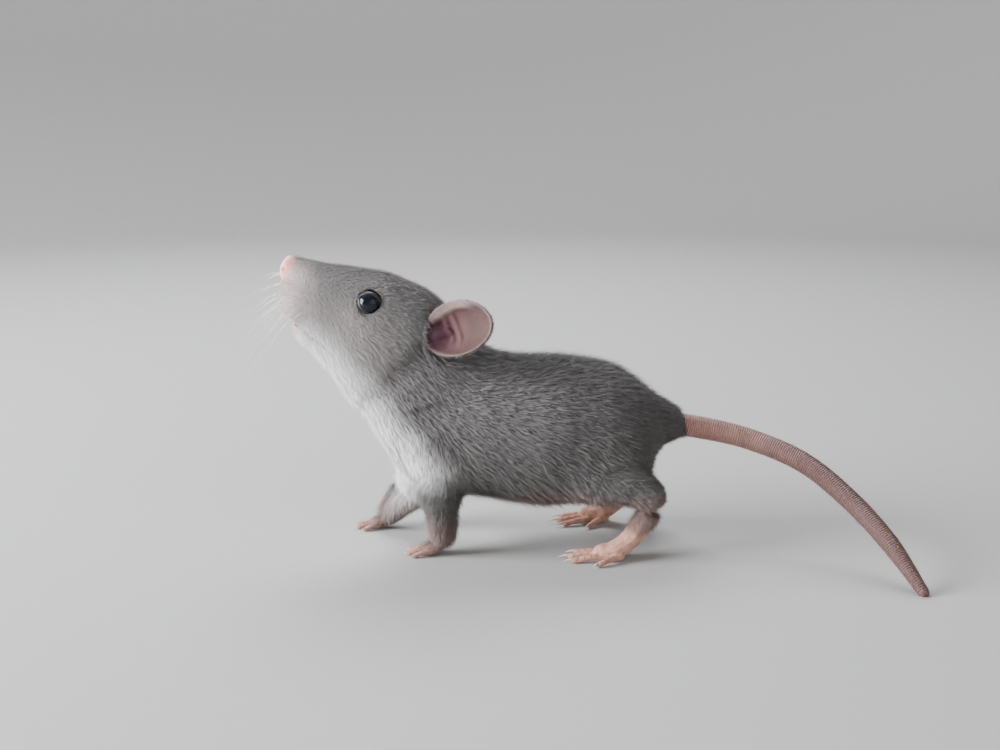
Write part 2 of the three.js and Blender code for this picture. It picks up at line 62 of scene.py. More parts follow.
def ratToHead(points):
    c, s = math.cos(rat["headPitch"]), math.sin(rat["headPitch"])
    dx, dz = points[:, 0] - rat["headPlace"][0], points[:, 2] - rat["headPlace"][1]
    return np.stack([dx * c - dz * s, points[:, 1], dx * s + dz * c], 1)


def middleOf(node):
    low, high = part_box(node)
    return np.array((low + high) / 2) / mm


eyePlace = headToRat(*rat["eyeInHead"])
ratOrigin = (middleOf("eye_left") + middleOf("eye_right")) / 2 - eyePlace * (1, 0, 1)
print("rat's frame starts at", np.round(ratOrigin, 2))


def smoothStep(low, high, value):
    t = np.clip((value - low) / (high - low), 0, 1)
    return t * t * (3 - 2 * t)


def unit(v):
    return v / np.maximum(np.linalg.norm(v, axis=1, keepdims=True), 1e-9)


# Meshes

def meshFrom(name, points, faces, smooth=True):
    mesh = bpy.data.meshes.new(name)
    sides = faces.shape[1]
    mesh.vertices.add(len(points))
    mesh.vertices.foreach_set("co", ((points + ratOrigin) * mm).astype(np.float32).ravel())
    mesh.loops.add(faces.size)
    mesh.loops.foreach_set("vertex_index", faces.astype(np.int32).ravel())
    mesh.polygons.add(len(faces))
    mesh.polygons.foreach_set("loop_start", np.arange(0, faces.size, sides, dtype=np.int32))
    mesh.polygons.foreach_set("loop_total", np.full(len(faces), sides, dtype=np.int32))
    mesh.polygons.foreach_set("use_smooth", np.full(len(faces), smooth))
    mesh.update(calc_edges=True)
    mesh.validate()
    piece = bpy.data.objects.new(name, mesh)
    bpy.context.scene.collection.objects.link(piece)
    return piece


def keep(piece, **measures):
    # numbers on the points of a mesh, which its finish reads by name
    for name, values in measures.items():
        layer = piece.data.attributes.new(name, "FLOAT", "POINT")
        layer.data.foreach_set("value", np.clip(values, 0, 1).astype(np.float32))


def nodeArrays(node):
    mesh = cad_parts[node].data
    points = np.empty(len(mesh.vertices) * 3)
    mesh.vertices.foreach_get("co", points)
    mesh.calc_loop_triangles()
    faces = np.empty(len(mesh.loop_triangles) * 3, np.int32)
    mesh.loop_triangles.foreach_get("vertices", faces)
    points, faces = points.reshape(-1, 3) / mm - ratOrigin, faces.reshape(-1, 3)
    unique, back = np.unique(np.round(points, 3), axis=0, return_inverse=True)
    return unique, back.reshape(-1)[faces]


def normalsOf(points, faces):
    normals = np.zeros_like(points)
    corners = [points[faces[:, i]] for i in range(faces.shape[1])]
    if len(corners) == 3:
        faceNormals = np.cross(corners[1] - corners[0], corners[2] - corners[0])
    else:
        faceNormals = np.cross(corners[2] - corners[0], corners[3] - corners[1])
    for i in range(faces.shape[1]):
        for axis in range(3):
            normals[:, axis] += np.bincount(faces[:, i], faceNormals[:, axis], len(points))
    return unit(normals)


class Surface:
    # points and faces of a skin that was fused from solids, with what is measured on it

    def __init__(self, nodes, voxel, grow, rounds):
        points, faces, start = [], [], 0
        for node in nodes:
            p, f = nodeArrays(node)
            points.append(p + normalsOf(p, f) * grow)
            faces.append(f + start)
            start += len(p)
        raw = bpy.data.meshes.new("raw")
        raw.from_pydata(np.concatenate(points).tolist(), [], np.concatenate(faces).tolist())
        rawObject = bpy.data.objects.new("raw", raw)
        bpy.context.scene.collection.objects.link(rawObject)
        remesh = rawObject.modifiers.new("fuse", "REMESH")
        remesh.mode = "VOXEL"
        remesh.voxel_size = voxel
        graph = bpy.context.evaluated_depsgraph_get()
        fused = rawObject.evaluated_get(graph).to_mesh()
        self.points = np.empty(len(fused.vertices) * 3)
        fused.vertices.foreach_get("co", self.points)
        self.points = self.points.reshape(-1, 3)
        totals = np.empty(len(fused.polygons), np.int32)
        fused.polygons.foreach_get("loop_total", totals)
        corners = np.empty(len(fused.loops), np.int32)
        fused.loops.foreach_get("vertex_index", corners)
        self.faces = corners.reshape(-1, 4) if (totals == 4).all() else None
        if self.faces is None:
            fused.calc_loop_triangles()
            triangles = np.empty(len(fused.loop_triangles) * 3, np.int32)
            fused.loop_triangles.foreach_get("vertices", triangles)
            self.faces = triangles.reshape(-1, 3)
        bpy.data.objects.remove(rawObject)
        self.link()
        self.points = self.relaxed(self.points, rounds)
        self.normals = normalsOf(self.points, self.faces)

    def link(self):
        sides = self.faces.shape[1]
        ends = np.concatenate([self.faces[:, [i, (i + 1) % sides]] for i in range(sides)])
        self.a, self.b = ends[:, 0], ends[:, 1]
        self.count = np.maximum(np.bincount(self.a, minlength=len(self.points)), 1)

    def relaxed(self, values, rounds, share=0.5):
        values = values.copy()
        flat = values.reshape(len(values), -1)
        for _ in range(rounds):
            for i in range(flat.shape[1]):
                around = np.bincount(self.a, flat[self.b, i], len(flat)) / self.count
                flat[:, i] += (around - flat[:, i]) * share
        return flat.reshape(values.shape)


# Shader maths

class Flow:
    # one socket, so that sums and products of sockets read as maths

    def __init__(self, tree, socket):
        self.tree, self.socket = tree, socket

    def maths(self, operation, a, b=None):
        inputs = {0: a} if b is None else {0: a, 1: b}
        return self.tree.node("ShaderNodeMath", {"operation": operation}, inputs)["Value"]

    def __add__(self, other):
        return self.maths("ADD", self, other)

    def __sub__(self, other):
        return self.maths("SUBTRACT", self, other)

    def __rsub__(self, other):
        return self.maths("SUBTRACT", other, self)

    def __mul__(self, other):
        return self.maths("MULTIPLY", self, other)

    def __abs__(self):
        return self.maths("ABSOLUTE", self)

    def max(self, other):
        return self.maths("MAXIMUM", self, other)


class Outputs:
    def __init__(self, tree, made):
        self.tree, self.made = tree, made

    def __getitem__(self, name):
        return Flow(self.tree, self.made.outputs[name])


class Finish:
    # a material and the few kinds of node call that the finishes below use

    def __init__(self, name, roughness=0.7, **constants):
        self.material = bpy.data.materials.new(name)
        self.material.use_nodes = True
        self.nodes = self.material.node_tree.nodes
        self.links = self.material.node_tree.links
        self.shader = self.nodes["Principled BSDF"]
        self.shader.inputs["Roughness"].default_value = roughness
        for socket, value in constants.items():
            self.shader.inputs[socket.replace("_", " ")].default_value = value

    def node(self, kind, settings={}, inputs={}):
        made = self.nodes.new(kind)
        for key, value in settings.items():
            if key == "stops":
                for i, (place, colour) in enumerate(value):
                    stop = made.color_ramp.elements[i] if i < 2 else made.color_ramp.elements.new(place)
                    stop.position, stop.color = place, (*colour, 1)
            else:
                setattr(made, key, value)
        for key, value in inputs.items():
            if isinstance(value, Flow):
                self.links.new(value.socket, made.inputs[key])
            else:
                made.inputs[key].default_value = value
        return Outputs(self, made)

    def set(self, socket, value):
        self.links.new(value.socket, self.shader.inputs[socket])

    def place(self):
        # x, y and z in the rat's frame, in millimetres
        where = self.node("ShaderNodeTexCoord")["Object"]
        moved = self.node("ShaderNodeVectorMath", {"operation": "MULTIPLY_ADD"},
                          {0: where, 1: (1 / mm,) * 3, 2: tuple(-ratOrigin)})["Vector"]
        axes = self.node("ShaderNodeSeparateXYZ", {}, {0: moved})
        return moved, axes["X"], axes["Y"], axes["Z"]

    def noise(self, where, scale, detail=2.0, stretch=(1, 1, 1)):
        spread = self.node("ShaderNodeVectorMath", {"operation": "MULTIPLY"}, {0: where, 1: stretch})
        inputs = {"Vector": spread["Vector"], "Scale": scale, "Detail": detail}
        return self.node("ShaderNodeTexNoise", {}, inputs)["Fac"]

    def ramp(self, value, low, high):
        return self.node("ShaderNodeMapRange", {"interpolation_type": "SMOOTHSTEP"},
                         {"Value": value, "From Min": low, "From Max": high})["Result"]

    def mix(self, share, a, b):
        inputs = {key: (*value, 1) if isinstance(value, tuple) else value for key, value in ((6, a), (7, b))}
        blend = self.node("ShaderNodeMix", {"data_type": "RGBA"}, {0: share, **inputs})
        return Flow(self, blend.made.outputs[2])

    def near(self, where, place, inner, outer):
        # 1 within inner mm of a place, fading to 0 at outer
        apart = self.node("ShaderNodeVectorMath", {"operation": "DISTANCE"}, {0: where, 1: tuple(place)})
        return 1 - self.ramp(apart["Value"], inner, outer)

    def attribute(self, name):
        return self.node("ShaderNodeAttribute", {"attribute_name": name})["Fac"]

    def bump(self, height, depth):
        inputs = {"Strength": 1.0, "Distance": depth * mm, "Height": height}
        self.set("Normal", self.node("ShaderNodeBump", {}, inputs)["Normal"])


coat = {
    "back": (0.190, 0.180, 0.178),
    "backDark": (0.080, 0.075, 0.075),
    "flank": (0.155, 0.144, 0.140),
    "face": (0.315, 0.288, 0.277),
    "crown": (0.245, 0.230, 0.227),
    "pale": (0.86, 0.85, 0.84),
    "muzzle": (0.86, 0.745, 0.72),
    "nose": (0.95, 0.56, 0.48),
    "noseSide": (0.90, 0.30, 0.24),
    # nostril: painted shade inside the nostrils
    "nostril": (0.20, 0.06, 0.05),
    # lip: the lips' own pink, with painted shade along the mouth line and the philtrum groove
    "lip": (0.62, 0.34, 0.31),
    "lid": (0.06, 0.048, 0.047),
    "corner": (0.012, 0.010, 0.012),
    # canal: painted shade in the mouth of the ear canal
    "canal": (0.07, 0.027, 0.038),
    "leg": (0.31, 0.195, 0.165),
    "underFur": (0.14, 0.128, 0.125),
    "throatLine": ((-48, 50.5), (-12, 13)),  # x and z of the edge between face and pale throat, whose white is partly painted light
    "bellyTop": 13,
    "crease": (-17.5, 32.5),  # x and z of the fold behind the jaw, where a shadow is painted dark
    "noseTip": (-30.0, 0, 2.2),
    "hocks": (15.5, 9),  # how high bare skin shows through on the hind and fore legs
}


def coatColour(finish, where, x, y, z):
    # the markings of the coat, with painted light and shade, shared by the skin and every tuft
    broad = finish.noise(where, 0.16)
    fine = finish.noise(where, 1.3, 3.0, (0.5, 1, 1))
    wobble = (broad - 0.5) * 5
    (xa, za), (xb, zb) = coat["throatLine"]
    length = math.hypot(xb - xa, zb - za)
    below = ((x - xa) * ((zb - za) / length) - (z - za) * ((xb - xa) / length)) + wobble
    onLeg = (1 - finish.ramp(z, 13, 19)) * finish.ramp(abs(y), 4, 7)
    # The throat and chest are pale: partly the coat's pale underside, partly painted light from the lamp on
    # the left, which widens the white band.
    throat = finish.ramp(below - abs(y) * 0.18, -11, 0) * (1 - finish.ramp(x + z * 0.35, -8, 3)) * (1 - onLeg)
    lengthwise = finish.ramp(x, -26, -12) * (1 - finish.ramp(x, 16, 26)) * (1 - finish.ramp(abs(y), 5, 8.5))
    belly = (1 - finish.ramp(z + wobble, coat["bellyTop"] - 5, coat["bellyTop"] + 3)) * lengthwise
    face = 1 - finish.ramp(x * 0.82 - z * 0.57 + wobble * 0.6, -49, -38)
    tilt, (headX, headZ) = rat["headPitch"], rat["headPlace"]
    aboveEye = (x - headX) * math.sin(tilt) + (z - headZ) * math.cos(tilt) + wobble * 0.25
    behindNose = (x - headX) * math.cos(tilt) - (z - headZ) * math.sin(tilt)
    crown = finish.ramp(aboveEye, -4, 4.5) * finish.ramp(behindNose, -26, -16)
    # Lighter up the back than low on the flank: partly the coat's own tone, partly painted light on the back
    # and painted shade low on the flank.
    upper = finish.ramp(z + wobble, 18, 36)
    grey = finish.mix(upper, coat["flank"], coat["back"])
    grey = finish.mix(finish.ramp(fine, 0.3, 0.75), finish.mix(0.55, grey, coat["backDark"]), grey)
    grey = finish.mix(face, grey, finish.mix(crown, coat["face"], coat["crown"]))
    # Painted shade: a dark line along the fold behind the jaw, on the sides of the neck.
    cx, cz = coat["crease"]
    offFold = abs((z - cz) - (x - cx) * 0.35 + wobble * 0.12)
    fold = (1 - finish.ramp(abs(x - cx), 2.5, 5.5)) * (1 - finish.ramp(offFold, 0.2, 1.0))
    grey = finish.mix(fold * finish.ramp(abs(y), 6, 9) * 0.75, grey, coat["backDark"])
    muzzle = finish.near(where, headToRat(-26.5, 0, -3.5), 5.0, 10.5)
    colour = finish.mix(throat.max(belly * 0.5), grey, coat["pale"])
    return finish.mix(muzzle * 0.85, colour, coat["muzzle"])


def bareLeg(finish, x, z):
    # 1 low on the legs, where the skin shows through thin hair
    hind, fore = coat["hocks"]
    top = finish.ramp(x, -10, 10) * (hind - fore) + fore
    return 1 - finish.ramp(z - top, -4, 1.5)


def coatFinish():
    finish = Finish("coat", 0.85)
    where, x, y, z = finish.place()
    grey = coatColour(finish, where, x, y, z)
    finish.set("Base Color", finish.mix(bareLeg(finish, x, z) * 0.45, grey, coat["leg"]))
    finish.shader.inputs["Specular IOR Level"].default_value = 0.22
    finish.shader.inputs["Sheen Weight"].default_value = 0.06
    finish.shader.inputs["Sheen Roughness"].default_value = 0.5
    return finish.material


def skinFinish():
    finish = Finish("coatedSkin", 0.75)
    where, x, y, z = finish.place()
    under = finish.mix(0.35, coatColour(finish, where, x, y, z), coat["underFur"])
    under = finish.mix(bareLeg(finish, x, z), under, coat["leg"])
    nose = finish.near(where, headToRat(*coat["noseTip"]), 2.9, 5.2)
    tip = finish.mix(finish.ramp(abs(y), 0.9, 2.2), coat["nose"], coat["noseSide"])
    colour = finish.mix(nose, under, tip)
    for name in ("lip", "nostril", "lid", "corner", "canal"):
        colour = finish.mix(finish.attribute(name), colour, coat[name])
    finish.set("Base Color", colour)
    finish.bump(finish.noise(where, 4.0, 3.0), 0.25)
    finish.shader.inputs["Subsurface Weight"].default_value = 0.08
    finish.shader.inputs["Subsurface Radius"].default_value = (0.0015, 0.0006, 0.0004)
    return finish.material


# The skin under the coat

fleshNodes = ["head", "neck", "torso"]
for side in ("left", "right"):
    fleshNodes += [part + side for part in ("thigh_", "upper_arm_", "shank_", "forearm_")]

fleece = {  # coat depth, tuft length, tufts on a square millimetre, and how much neighbours lean together
    "head": (0.8, 1.45, 58, 0.08),
    "neck": (1.7, 2.5, 46, 0.16),
    "torso": (2.0, 2.7, 42, 0.22),
    "thigh": (1.8, 2.6, 42, 0.2),
    "upper_arm": (1.5, 2.5, 38, 0.2),
    "shank": (0.9, 1.6, 40, 0.1),
    "forearm": (0.85, 1.6, 42, 0.1),
    "face": {"noseShare": 0.35, "from": -28, "to": -8},  # the coat shortens towards the nose
    "tailRoot": {"share": 0.5, "from": 30, "to": 39},
    "thinLegs": 0.8,  # share of the tufts that is left beside the feet
    "ankles": (12.5, 3.5),  # height of the hind and fore ankles, where the coat has no depth
    "shinFade": 7,
}

skin = Surface(fleshNodes, 0.31, rat["jointWidth"] / 2 + 0.03, 6)
print("skin", len(skin.points), "points")

marks = kdtree.KDTree(sum(len(nodeArrays(n)[0]) for n in fleshNodes))
markOf = []
for i, node in enumerate(fleshNodes):
    for p in nodeArrays(node)[0]:
        marks.insert(p, len(markOf))
        markOf.append(i)
marks.balance()
owner = np.array([markOf[marks.find(p)[1]] for p in skin.points])
parts = [n.removesuffix("_left").removesuffix("_right") for n in fleshNodes]
inHead = ratToHead(skin.points)
depth = np.array([fleece[p][0] for p in parts])[owner]
length = np.array([fleece[p][1] for p in parts])[owner]
density = np.array([fleece[p][2] for p in parts])[owner].astype(float)
together = skin.relaxed(np.array([fleece[p][3] for p in parts])[owner], 80)
hindHock, foreHock = coat["hocks"]
hock = foreHock + (hindHock - foreHock) * smoothStep(-10, 10, skin.points[:, 0])
density *= fleece["thinLegs"] + (1 - fleece["thinLegs"]) * smoothStep(-5, 1, skin.points[:, 2] - hock)

towardsNose = 1 - smoothStep(fleece["face"]["from"], fleece["face"]["to"], inHead[:, 0])
onHead = (owner == fleshNodes.index("head")).astype(float)
short = 1 - onHead * towardsNose * (1 - fleece["face"]["noseShare"])
root = fleece["tailRoot"]
short *= 1 - (1 - root["share"]) * smoothStep(root["from"], root["to"], skin.points[:, 0])
depth, length = skin.relaxed(depth * short, 60), skin.relaxed(length * short, 60)
hindAnkle, foreAnkle = fleece["ankles"]
ankle = foreAnkle + (hindAnkle - foreAnkle) * smoothStep(-10, 10, skin.points[:, 0])
onShin = np.array([p in ("shank", "forearm") for p in parts])[owner]
lowOnShin = 1 - smoothStep(ankle, ankle + fleece["shinFade"], skin.points[:, 2])
depth *= 1 - skin.relaxed(onShin.astype(float), 6) * lowOnShin

# Which way the hair lies, from where each point is on the body.
lie = {
    "head": headToRat(1, 0, -0.25) - headToRat(0, 0, 0),
    "neck": (0.8, 0, -0.6),
    "torso": (1, 0, -0.28),
    "thigh": (0.75, 0, -0.65),
    "upper_arm": (0.25, 0, -1),
    "shank": (0.9, 0, -0.35),
    "forearm": (-0.15, 0, -1),
}
flow = np.array([lie[p] for p in parts], float)[owner]
outward = np.where(skin.points[:, 1] < 0, -1.0, 1.0) * (owner <= 2)
flow[:, 1] += 0.15 * outward
flow = skin.relaxed(flow, 120)
for side in (-1, 1):
    ex, ey, ez = rat["eyeInHead"]
    away = skin.points - headToRat(ex, side * ey, ez)
    near = 1 - smoothStep(3.0, 6.0, np.linalg.norm(away, axis=1))
    flow += unit(away) * near[:, None] * 0.9

# Bare places: the nose, the lids and the mouth of the ear.
ears = {  # where each ear leaves the head, in the head's frame, and how it turns
    "left": {"place": (5.2, 9.2, 1.8), "standOut": 34, "lift": 30, "lean": 8},
    "right": {"place": (5.2, 9.3, 0.2), "standOut": 38, "lift": 10, "lean": 12},
    "long": 17.6, "high": 11.9, "buried": 1.8, "canal": (1.2, 2.4, -0.6),
}


def earFrame(side):
    sign = -1 if side == "left" else 1
    facts = ears[side]
    standOut = Matrix.Rotation(math.radians(sign * facts["standOut"]), 3, "Z")
    lift = Matrix.Rotation(math.radians(-facts["lift"]), 3, "Y")
    lean = Matrix.Rotation(math.radians(sign * facts["lean"]), 3, "X")
    turn = standOut @ lift @ lean
    x, y, z = facts["place"]
    return np.array((x, sign * y, z)), np.array(turn), sign


def ratToEar(points, side):
    # x runs out to the ear's tip, y into its cup, z up
    place, turn, sign = earFrame(side)
    local = (ratToHead(points) - place) @ turn
    return local * (1, -sign, 1)


face = {
    "nostril": {"place": (-29.6, 1.75, 1.45), "size": (1.0, 0.55, 0.55), "deep": 0.8},
    "philtrum": {"from": -8, "to": 0.8, "wide": 0.28, "deep": 0.32},
    "mouth": {"corner": (-14.3, -11.4), "front": (-23.8, -8.4), "wide": 0.3, "deep": 0.55, "lip": 0.2},
    "lid": {"inner": 2.72, "outer": 2.92, "corner": (-2.8, 1.25, 1.35), "cornerSize": (1.05, 0.9, 0.5)},
}


def apartFrom(place, size=1.0):
    # how far each point of the skin is from a place on either side of the head
    rel = np.stack([inHead[:, 0] - place[0], np.abs(inHead[:, 1]) - place[1], inHead[:, 2] - place[2]], 1)
    return np.linalg.norm(rel / size, axis=1)


eyeX, eyeY, eyeZ = rat["eyeInHead"]
cx, cy, cz = face["lid"]["corner"]
eyeApart = apartFrom(rat["eyeInHead"])
corner = 1 - smoothStep(0.5, 0.95, apartFrom((eyeX + cx, eyeY + cy, eyeZ + cz), face["lid"]["cornerSize"]))
lid = np.maximum(1 - smoothStep(face["lid"]["inner"], face["lid"]["outer"], eyeApart), corner)
nose = 1 - smoothStep(2.6, 3.9, np.linalg.norm(inHead - (-30.2, 0, 1.9), axis=1))
# the nostrils are carved in and painted dark as shade in the holes
nostril = np.exp(-apartFrom(face["nostril"]["place"], face["nostril"]["size"]) ** 2)

(cornerX, cornerZ), (frontX, frontZ) = face["mouth"]["corner"], face["mouth"]["front"]
slope = (frontZ - cornerZ) / (frontX - cornerX)
fromMouth = (inHead[:, 2] - cornerZ - (inHead[:, 0] - cornerX) * slope) / math.hypot(1, slope)
onMouth = onHead * (1 - smoothStep(cornerX - 1.5, cornerX, inHead[:, 0]))
groove = np.exp(-(fromMouth / face["mouth"]["wide"]) ** 2) * onMouth
lips = np.exp(-((np.abs(fromMouth) - 0.75) / 0.35) ** 2) * onMouth
philtrumLow, philtrumTop = face["philtrum"]["from"], face["philtrum"]["to"]
inPhiltrum = smoothStep(philtrumLow, philtrumLow + 1, inHead[:, 2])
inPhiltrum = inPhiltrum * (1 - smoothStep(philtrumTop - 0.8, philtrumTop, inHead[:, 2]))
inPhiltrum = inPhiltrum * (inHead[:, 0] < -22)
philtrum = np.exp(-(inHead[:, 1] / face["philtrum"]["wide"]) ** 2) * inPhiltrum

# Painted shade: the skin at the mouth of each ear canal gets the dark canal colour and no coat.
canal = np.zeros(len(skin.points))
for side in ("left", "right"):
    local = ratToEar(skin.points, side)
    offCanal = np.linalg.norm((local - ears["canal"]) / (1.15, 1, 1.25), axis=1)
    canal = np.maximum(canal, 1 - smoothStep(2.6, 4.2, offCanal))
bare = np.max([lid, nose, canal, groove * 0.7, philtrum * 0.5], 0)

skin.points = skin.points - skin.normals * (depth * (1 - np.max([lid, nose, canal], 0)))[:, None]
skin.points = skin.relaxed(skin.points, 2)
skin.normals = normalsOf(skin.points, skin.faces)
carve = -face["nostril"]["deep"] * nostril - face["mouth"]["deep"] * groove
carve = carve - face["philtrum"]["deep"] * philtrum
skin.points = skin.points + skin.normals * (carve + face["mouth"]["lip"] * lips)[:, None]
skin.normals = normalsOf(skin.points, skin.faces)
skinPiece = meshFrom("skin", skin.points, skin.faces)
# The lip mark is the lips' pink and painted shade in the mouth line and philtrum groove.
keep(skinPiece, lid=lid, corner=corner, lip=groove * 0.9 + philtrum * 0.6, nostril=nostril * 1.2, canal=canal)
skinPiece.data.materials.append(skinFinish())
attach(skinPiece, "root")
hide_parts(*fleshNodes)

# The coat

tuft = {
    "width": 0.125,
    "rootAngle": 42,
    "tipAngle": 17,
    "angleSpread": 11,
    "turnSpread": 11,
    "lengthSpread": 0.26,
    "clumpSize": 30,  # tufts that lean together
    "clumpApart": 1.3,
    "most": 60000,  # tufts in one piece
}


def turned(direction, axis, angle):
    c, s = np.cos(angle)[:, None], np.sin(angle)[:, None]
    return direction * c + np.cross(axis, direction) * s


def grow(surface, density, bare, length, flow, wide, together=None):
    # root, middle, tip and half width of each tuft, and the face that it stands on
    corners = surface.faces
    quads = surface.points[corners]
    oneWay, otherWay = quads[:, 2] - quads[:, 0], quads[:, 3 % corners.shape[1]] - quads[:, 1]
    area = np.linalg.norm(np.cross(oneWay, otherWay), axis=1) / 2
    wanted = area * density[corners].mean(1) * (1 - bare[corners].max(1))
    count = np.floor(wanted + rng.random(len(wanted))).astype(int)
    ground = np.repeat(np.arange(len(corners)), count)
    u, v = rng.random(len(ground)), rng.random(len(ground))
    weights = np.stack([(1 - u) * (1 - v), u * (1 - v), u * v, (1 - u) * v], 1)[:, :, None]

    def at(values):
        values = values.reshape(len(values), -1)
        return (values[corners[ground]] * weights).sum(1)

    root, normal, long, along = at(surface.points), unit(at(surface.normals)), at(length)[:, 0], at(flow)
    along = unit(along - normal * (along * normal).sum(1, keepdims=True))
    along = turned(along, normal, np.radians(rng.normal(0, tuft["turnSpread"], len(root))))
    long = long * (1 + rng.normal(0, tuft["lengthSpread"], len(root)).clip(-0.6, 0.6))
    tilt = rng.normal(0, tuft["angleSpread"], len(root))
    low = np.radians(np.clip(tuft["rootAngle"] + tilt, 8, 80))[:, None]
    high = np.radians(np.clip(tuft["tipAngle"] + tilt, 4, 65))[:, None]
    middle = root + (normal * np.sin(low) + along * np.cos(low)) * long[:, None] * 0.5
    tip = middle + (normal * np.sin(high) + along * np.cos(high)) * long[:, None] * 0.5
    if together is not None:  # neighbouring tips lean together, which makes the short streaks of the coat
        seeds = rng.choice(len(root), len(root) // tuft["clumpSize"], replace=False)
        clumps = kdtree.KDTree(len(seeds))
        for i, seed in enumerate(seeds):
            clumps.insert(root[seed], i)
        clumps.balance()
        mine = seeds[np.array([clumps.find(p)[1] for p in root])]
        pull = at(together) * rng.random(len(root))[:, None] * 1.3
        offset = (root[mine] - root) - normal * ((root[mine] - root) * normal).sum(1, keepdims=True)
        apart = np.maximum(np.linalg.norm(offset, axis=1, keepdims=True), 0.1)
        tip = tip + offset * pull * np.minimum(1, tuft["clumpApart"] / apart)
    middle[:, 2] = np.maximum(middle[:, 2], 0.03 - ratOrigin[2])
    tip[:, 2] = np.maximum(tip[:, 2], 0.03 - ratOrigin[2])
    broad = wide * rng.uniform(0.7, 1.25, len(root)) * np.clip(long / 3, 0.5, 1.1)
    across = unit(np.cross(along, normal)) * broad[:, None]
    return root, middle, tip, across, ground


def weave(name, tufts, uv, material):
    # one mesh of tapering tufts, each with a small patch of the map at its root's place
    root, middle, tip, across = tufts
    waist = across * 0.42
    shape = np.stack([root - across / 2, root + across / 2, middle + waist, middle - waist, tip], 1)
    base = np.arange(len(root))[:, None] * 5
    corners = np.stack([base + (0, 1, 2), base + (0, 2, 3), base + (3, 2, 4)], 1).reshape(-1, 3)
    piece = meshFrom(name, shape.reshape(-1, 3), corners)
    layer = piece.data.uv_layers.new(name="OFBake")
    small = np.array([(-1, -1), (1, -1), (1, 0), (-1, 0), (0, 1)]) * 0.0015
    cornerUv = (uv[:, None, :] + small[None]).reshape(-1, 2)[corners.ravel()]
    layer.data.foreach_set("uv", cornerUv.astype(np.float32).ravel())
    piece.data.materials.append(material)
    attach(piece, "root")


def unwrap(part, points):
    # angle round the part and place along it, which is the unwrap of a tube
    centre = points.mean(0)
    if part in ("head", "neck", "torso"):
        pitch = {"head": rat["headPitch"], "neck": math.radians(45), "torso": 0.0}[part]
        forward = np.array([math.cos(pitch), 0, -math.sin(pitch)])
        up = np.array([math.sin(pitch), 0, math.cos(pitch)])
        sideways = np.array([0, 1.0, 0])
    else:
        forward, up, sideways = np.array([0, 0, -1.0]), np.array([1.0, 0, 0]), np.array([0, 1.0, 0])
    rel = points - centre
    angle = np.arctan2(rel @ sideways, rel @ up)
    uv = np.stack([angle / (2 * math.pi) + 0.5, rel @ forward], 1)
    low, high = uv.min(0), uv.max(0)
    return 0.01 + (uv - low) / (high - low) * 0.98


*tufts, ground = grow(skin, density, bare, length, flow, tuft["width"], together)
print("tufts", len(ground))
coatMaterial = coatFinish()
tuftOwner = owner[skin.faces[ground, 0]]
for i, node in enumerate(fleshNodes):
    chosen = np.nonzero(tuftOwner == i)[0]
    uv = unwrap(parts[i], tufts[0][chosen])
    order = np.argsort(tufts[0][chosen, 0], kind="stable")
    pieces = max(1, math.ceil(len(chosen) / tuft["most"]))
    for k, share in enumerate(np.array_split(order, pieces)):
        name = "coat_" + node + (f"_{k + 1}" if pieces > 1 else "")
        weave(name, [t[chosen[share]] for t in tufts], uv[share], coatMaterial)
print("coat made")

# Paws, ears and tail

feet = {  # for each foot, where the toes start and how far it turns out
    "hind_foot": {"left": (24.0, -14, 4), "right": (22.4, 13.4, 9),
                  "thick": 0.78, "voxel": 0.15, "hairAbove": 8.5, "roundFrom": 8.5,
                  "toes": ((-1.9, 2.2, 4.1, -34), (-1.4, 0.2, 8.4, -11), (0, -0.2, 9.1, 0),
                           (1.4, 0.1, 8.6, 10), (1.9, 1.6, 5.6, 38))},
    "forepaw": {"left": (-15.6, -10.2, 6), "right": (-28.4, 8.8, 3),
                "thick": 0.58, "voxel": 0.13, "hairAbove": 2.3, "roundFrom": 2.6,
                "toes": ((-1.5, 0.5, 3.5, -26), (-0.6, 0, 4.4, -8), (0.5, 0, 4.4, 8), (1.4, 0.4, 3.6, 25))},
    "skin": (0.62, 0.37, 0.27), "deep": (0.46, 0.22, 0.165),
    "claw": (0.66, 0.54, 0.45), "shin": (0.19, 0.105, 0.086),
    "hair": (0.21, 0.155, 0.14), "hairLength": 1.2, "hairWide": 0.1, "hairsOnEach": 30,
}


def alongToe(part, side, toe, points):
    # how far each point lies along a toe and beside it, from where the toe starts
    bx, by, turnOut = feet[part][side]
    heading = -math.radians(turnOut) * (1 if by > 0 else -1)
    beside, back, length, splay = toe
    ahead = np.array((-math.cos(heading), math.sin(heading)))
    across = np.array((-math.sin(heading), -math.cos(heading)))
    start = np.array((bx, by)) + across * beside - ahead * back
    turn = heading - math.radians(splay)
    way = np.array((-math.cos(turn), math.sin(turn)))
    rel = points[:, :2] - start
    return rel @ way, np.abs(rel @ np.array((-way[1], way[0])))


def footFinish(part):
    finish = Finish(part + "Skin", 0.65, Specular_IOR_Level=0.3)
    where, x, y, z = finish.place()
    colour = finish.mix(finish.ramp(finish.noise(where, 0.6, 3.0), 0.3, 0.7), feet["skin"], feet["deep"])
    # The foot darkens up towards the shin: partly the shin's own darker skin, partly painted shade of the
    # ankle.
    shinFrom = feet[part]["hairAbove"]
    colour = finish.mix(finish.ramp(z, shinFrom * 0.45, shinFrom * 1.25), colour, feet["shin"])
    # painted shade: the skin is darker in the creases across the toes
    colour = finish.mix(finish.attribute("crease") * 0.6, colour, feet["deep"])
    finish.set("Base Color", finish.mix(finish.attribute("claw"), colour, feet["claw"]))
    finish.bump(finish.noise(where, 5.0, 4.0) - finish.attribute("crease") * 0.6, 0.16)
    finish.shader.inputs["Subsurface Weight"].default_value = 0.15
    finish.shader.inputs["Subsurface Radius"].default_value = (0.0018, 0.0006, 0.0004)
    return finish.material


